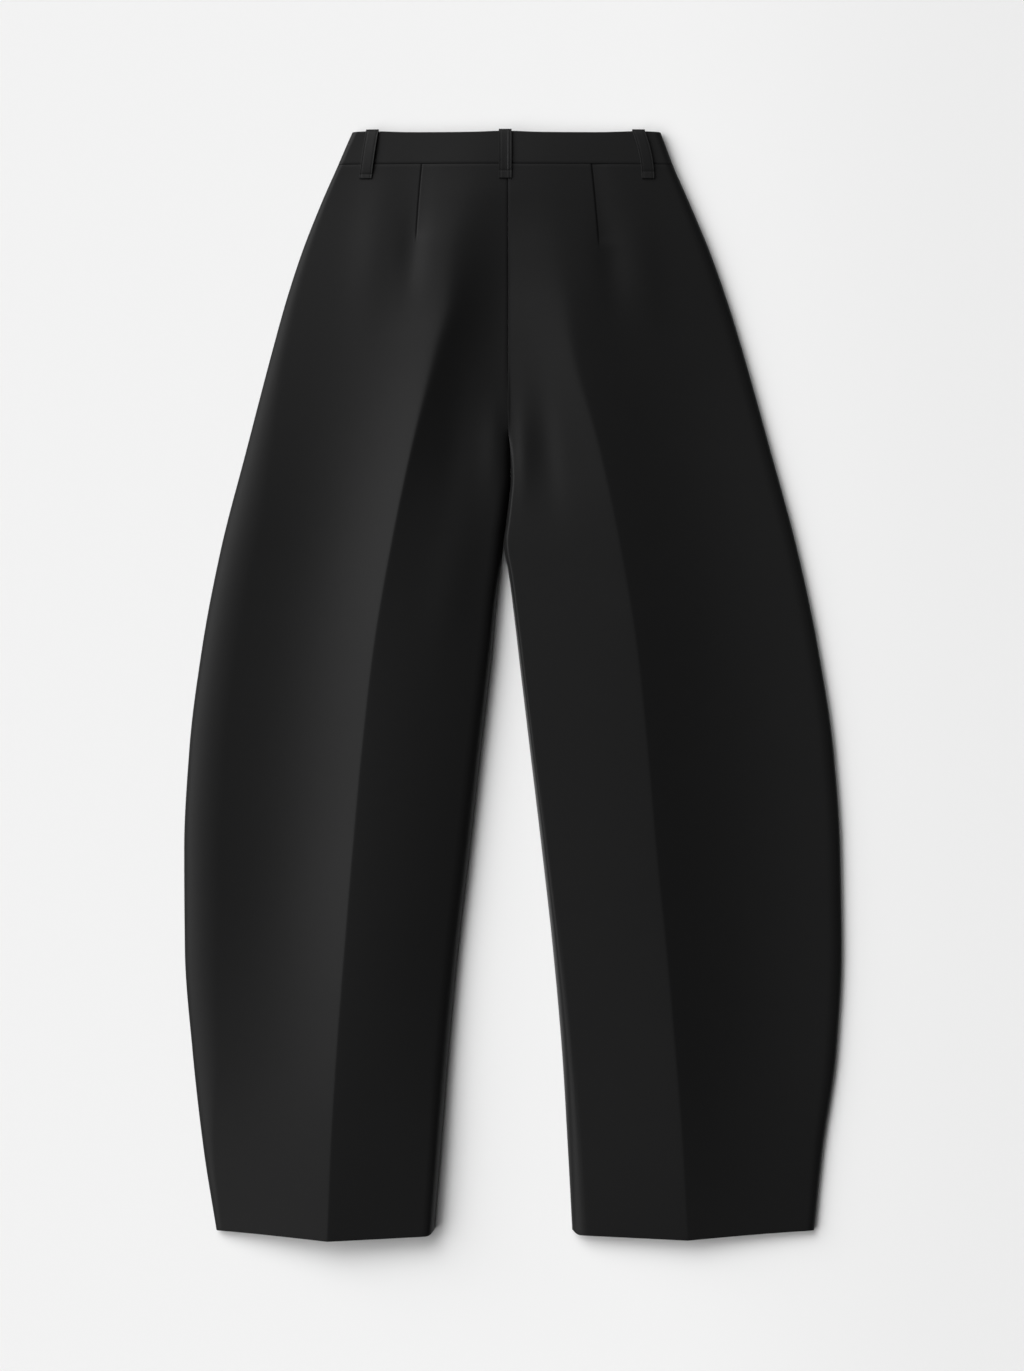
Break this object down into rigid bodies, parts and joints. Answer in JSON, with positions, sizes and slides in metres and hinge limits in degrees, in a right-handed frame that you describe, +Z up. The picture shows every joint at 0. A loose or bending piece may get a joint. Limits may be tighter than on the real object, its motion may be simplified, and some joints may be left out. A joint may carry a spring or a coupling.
{
  "type": "barrel leg trousers",
  "caption": "High-waisted barrel leg trousers laid flat with the back up, with pressed creases, back darts, a waistband and belt loops, as thin cloth panels over hollow legs.",
  "frame": {"origin": "on the surface the garment lies on, under the middle of its bounding box", "axes": "+Y from the hems to the waist, +Z up through the back of the garment, +X to the picture's right, which is the wearer's right"},
  "size_m": [0.6456, 1.0885, 0.0313],
  "materials": {
    "cloth": "matte black wool twill with a soft sheen",
    "waistband": "the same cloth, doubled and pressed",
    "belt_loop": "the same cloth, folded narrow"
  },
  "bodies": {
    "root": {"back_left": "cloth", "back_right": "cloth", "front_left": "cloth", "front_right": "cloth", "waistband_left": "waistband", "waistband_right": "waistband", "belt_loop_left": "belt_loop", "belt_loop_centre": "belt_loop", "belt_loop_right": "belt_loop"}
  },
  "joints": []
}
